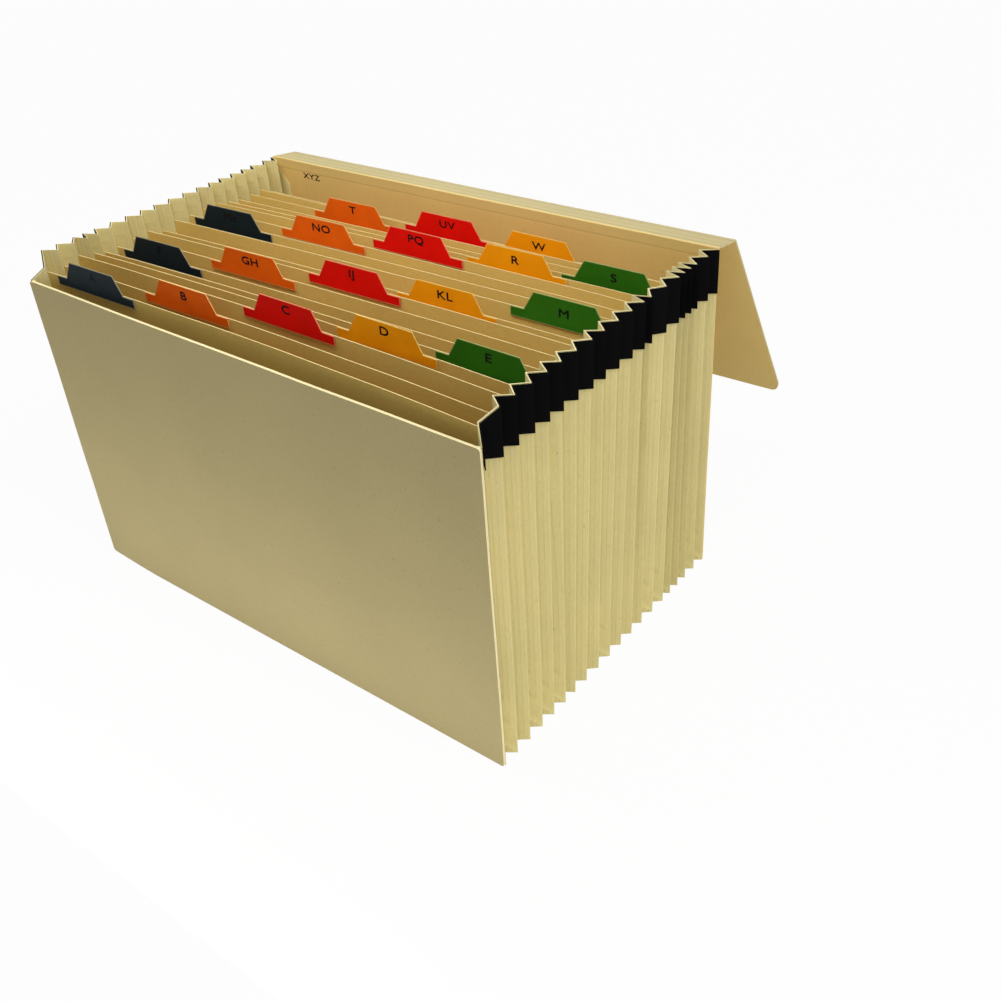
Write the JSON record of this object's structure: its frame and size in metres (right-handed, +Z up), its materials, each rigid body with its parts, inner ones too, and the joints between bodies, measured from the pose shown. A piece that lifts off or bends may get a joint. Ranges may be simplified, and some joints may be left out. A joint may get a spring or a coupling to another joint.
{
  "type": "expanding file",
  "caption": "Expanding file of manila card fanned open: pleated gusset, indexed divider sheets with coloured tabs, cloth edge tape and a hinged cover flap.",
  "frame": {"origin": "on the ground, at the middle of the whole file's outline seen from above", "axes": "+Z up; +X to the right of someone facing the front board; +Y from the front board to the back"},
  "size_m": [0.3806, 0.3596, 0.2444],
  "materials": {
    "front_board": "matte manila card, smooth",
    "cover_board": "matte manila card, smooth",
    "gusset_paper": "matte manila paper, creased at the folds",
    "divider_card": "matte manila card, thin",
    "cloth_tape": "matte woven cloth tape",
    "tab_blue": "film laminated card, semi-gloss",
    "tab_orange": "film laminated card, semi-gloss",
    "tab_red": "film laminated card, semi-gloss",
    "tab_amber": "film laminated card, semi-gloss",
    "tab_green": "film laminated card, semi-gloss"
  },
  "bodies": {
    "file": {"front_panel": "front_board", "pleated_gusset": "gusset_paper", "gusset_tape_right": "cloth_tape", "gusset_tape_left": "cloth_tape", "divider_a": "divider_card", "tab_a": "tab_blue", "divider_b": "divider_card", "tab_b": "tab_orange", "divider_c": "divider_card", "tab_c": "tab_red", "divider_d": "divider_card", "tab_d": "tab_amber", "divider_e": "divider_card", "tab_e": "tab_green", "divider_f": "divider_card", "tab_f": "tab_blue", "divider_gh": "divider_card", "tab_gh": "tab_orange", "divider_ij": "divider_card", "tab_ij": "tab_red", "divider_kl": "divider_card", "tab_kl": "tab_amber", "divider_m": "divider_card", "tab_m": "tab_green", "divider_mc": "divider_card", "tab_mc": "tab_blue", "divider_no": "divider_card", "tab_no": "tab_orange", "divider_pq": "divider_card", "tab_pq": "tab_red", "divider_r": "divider_card", "tab_r": "tab_amber", "divider_s": "divider_card", "tab_s": "tab_green", "divider_t": "divider_card", "tab_t": "tab_orange", "divider_uv": "divider_card", "tab_uv": "tab_red", "divider_w": "divider_card", "tab_w": "tab_amber", "back_panel": "cover_board"},
    "band": {"top_band": "cover_board"},
    "flap": {"cover_flap": "cover_board"}
  },
  "joints": [
    {"name": "band_fold", "type": "hinge", "parent": "file", "child": "band", "pos_m": [0.00156, 0.04775, 0.24098], "axis": [0.9993, 0.0384, 0], "range_deg": [-25, 120]},
    {"name": "flap_fold", "type": "hinge", "parent": "band", "child": "flap", "pos_m": [0.00063, 0.07183, 0.23714], "axis": [0.9993, 0.0384, 0], "range_deg": [-5, 120]}
  ]
}
